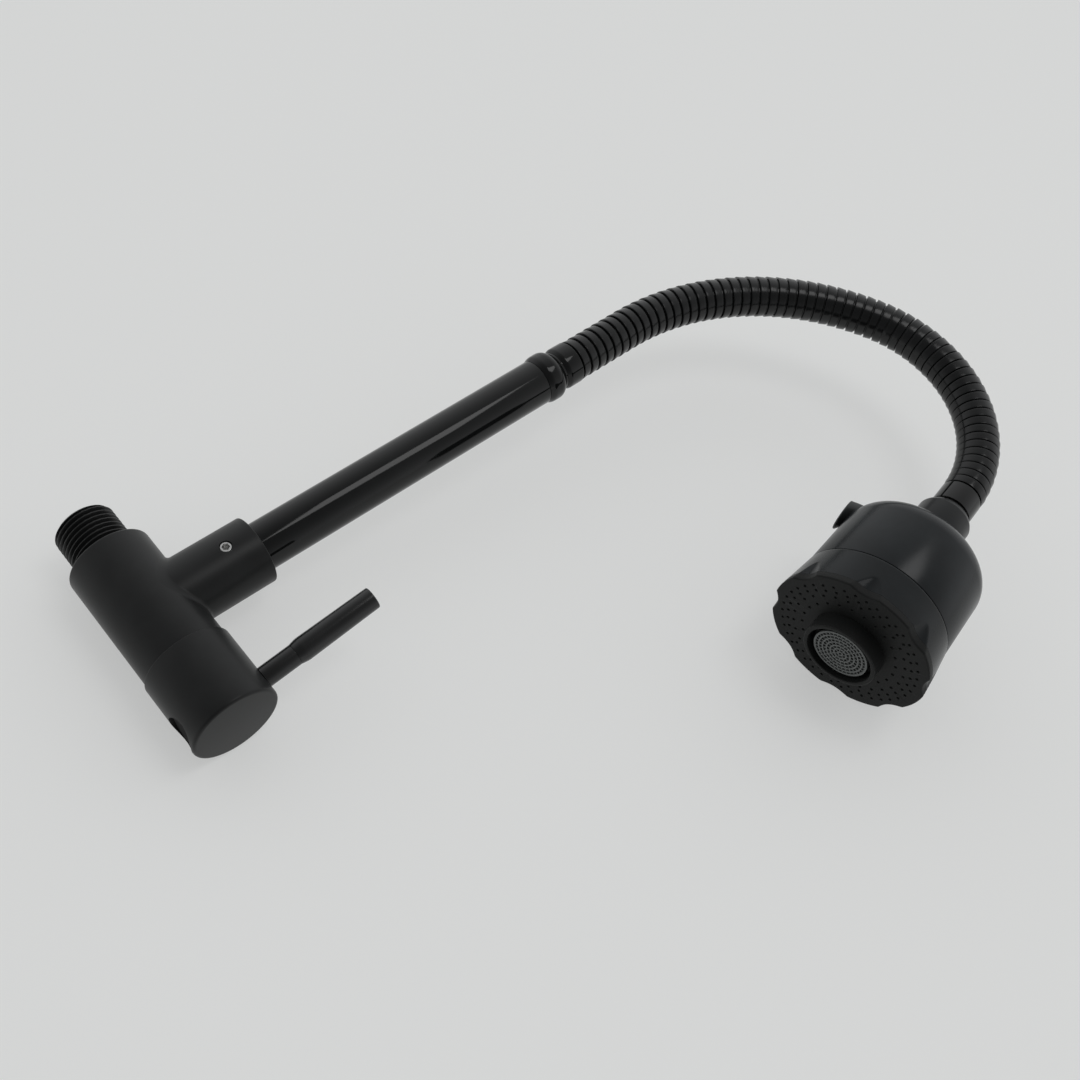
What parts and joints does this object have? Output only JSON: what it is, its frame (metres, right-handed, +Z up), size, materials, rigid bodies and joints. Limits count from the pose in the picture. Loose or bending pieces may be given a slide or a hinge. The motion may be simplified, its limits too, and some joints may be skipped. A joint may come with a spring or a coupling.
{
  "type": "kitchen tap",
  "caption": "Black cold water kitchen tap for a wall inlet: quarter turn side lever, upright spout tube, ribbed gooseneck hose and tilting spray head with a mode toggle.",
  "frame": {"origin": "centre of the inlet thread's shoulder, where the body meets the wall fitting", "axes": "+Y along the inlet thread into the wall, -Y towards the user and the handle, +Z up along the spout tube, +X to the user's right"},
  "size_m": [0.0582, 0.2154, 0.3197],
  "materials": {
    "black_satin": "satin",
    "thread_black": "satin",
    "black_gloss": "gloss",
    "hose_black": "gloss",
    "head_black": "satin",
    "face_black": "matte",
    "aerator_grey": "satin",
    "core_white": "matte",
    "brass": "machined",
    "ceramic": "polished",
    "rubber": "matte",
    "steel": "satin"
  },
  "bodies": {
    "body": {"inlet_nipple": "thread_black", "tap_body": "black_satin", "spout_screw": "steel", "valve_cartridge": "brass", "fixed_disc": "ceramic"},
    "handle": {"handle_cap": "black_satin", "spindle": "brass", "moving_disc": "ceramic", "handle_screw": "steel", "lever_stem": "black_gloss", "lever_grip": "black_gloss"},
    "spout": {"spout_foot": "brass", "spout_seal": "rubber", "spout_tube": "black_gloss", "collar_nut": "black_gloss", "upper_ferrule": "black_gloss"},
    "link_01": {"hose_link_01": "hose_black"},
    "link_02": {"hose_link_02": "hose_black"},
    "link_03": {"hose_link_03": "hose_black"},
    "link_04": {"hose_link_04": "hose_black"},
    "link_05": {"hose_link_05": "hose_black"},
    "link_06": {"hose_link_06": "hose_black"},
    "link_07": {"hose_link_07": "hose_black"},
    "link_08": {"hose_link_08": "hose_black"},
    "link_09": {"hose_link_09": "hose_black"},
    "link_10": {"hose_link_10": "hose_black", "lower_ferrule": "black_gloss", "ball_stem": "steel"},
    "neck": {"dome_nut": "head_black", "ball_seal": "rubber"},
    "head": {"housing": "head_black", "grip_ring": "head_black", "face_plate": "face_black", "water_core": "core_white", "aerator_sleeve": "face_black", "aerator_grid": "aerator_grey"},
    "knob": {"mode_knob": "head_black"}
  },
  "joints": [
    {"name": "lever_turn", "type": "hinge", "parent": "body", "child": "handle", "pos_m": [0, -0.0657, 0], "axis": [0, -1, 0], "range_deg": [-8.4, 81.6]},
    {"name": "spout_swivel", "type": "hinge", "parent": "body", "child": "spout", "pos_m": [0, -0.0242, 0.03], "axis": [0, 0, 1], "continuous": true},
    {"name": "hose_bend_low", "type": "hinge", "parent": "spout", "child": "link_01", "pos_m": [0, -0.0242, 0.18], "axis": [1, 0, 0], "range_deg": [-5, 3]},
    {"name": "hose_bend_02", "type": "hinge", "parent": "link_01", "child": "link_02", "pos_m": [0, -0.0242, 0.2033], "axis": [1, 0, 0], "range_deg": [-5, 3]},
    {"name": "hose_bend_03", "type": "hinge", "parent": "link_02", "child": "link_03", "pos_m": [0, -0.02647, 0.22644], "axis": [1, 0, 0], "range_deg": [-5, 3]},
    {"name": "hose_bend_04", "type": "hinge", "parent": "link_03", "child": "link_04", "pos_m": [0, -0.03428, 0.24833], "axis": [1, 0, 0], "range_deg": [-5, 3]},
    {"name": "hose_bend_05", "type": "hinge", "parent": "link_04", "child": "link_05", "pos_m": [0, -0.04717, 0.26767], "axis": [1, 0, 0], "range_deg": [-5, 3]},
    {"name": "hose_bend_high", "type": "hinge", "parent": "link_05", "child": "link_06", "pos_m": [0, -0.06439, 0.28329], "axis": [1, 0, 0], "range_deg": [-5, 3]},
    {"name": "hose_bend_07", "type": "hinge", "parent": "link_06", "child": "link_07", "pos_m": [0, -0.08496, 0.29406], "axis": [1, 0, 0], "range_deg": [-5, 3]},
    {"name": "hose_bend_08", "type": "hinge", "parent": "link_07", "child": "link_08", "pos_m": [0, -0.10798, 0.29631], "axis": [1, 0, 0], "range_deg": [-5, 3]},
    {"name": "hose_bend_09", "type": "hinge", "parent": "link_08", "child": "link_09", "pos_m": [0, -0.12984, 0.28878], "axis": [1, 0, 0], "range_deg": [-5, 3]},
    {"name": "hose_bend_10", "type": "hinge", "parent": "link_09", "child": "link_10", "pos_m": [0, -0.14659, 0.27284], "axis": [1, 0, 0], "range_deg": [-5, 3]},
    {"name": "head_tilt", "type": "hinge", "parent": "link_10", "child": "neck", "pos_m": [0, -0.15791, 0.23743], "axis": [1, 0, 0], "range_deg": [-15, 15]},
    {"name": "head_spin", "type": "hinge", "parent": "neck", "child": "head", "pos_m": [0, -0.15791, 0.23743], "axis": [0, -0.1908, -0.9816], "continuous": true},
    {"name": "mode_toggle", "type": "hinge", "parent": "head", "child": "knob", "pos_m": [0, -0.14602, 0.21475], "axis": [1, 0, 0], "range_deg": [0, 24]}
  ],
  "couplings": [
    {"joint": "hose_bend_02", "follows": "hose_bend_low", "ratio": 1},
    {"joint": "hose_bend_03", "follows": "hose_bend_low", "ratio": 1},
    {"joint": "hose_bend_04", "follows": "hose_bend_low", "ratio": 1},
    {"joint": "hose_bend_05", "follows": "hose_bend_low", "ratio": 1},
    {"joint": "hose_bend_07", "follows": "hose_bend_high", "ratio": 1},
    {"joint": "hose_bend_08", "follows": "hose_bend_high", "ratio": 1},
    {"joint": "hose_bend_09", "follows": "hose_bend_high", "ratio": 1},
    {"joint": "hose_bend_10", "follows": "hose_bend_high", "ratio": 1}
  ]
}
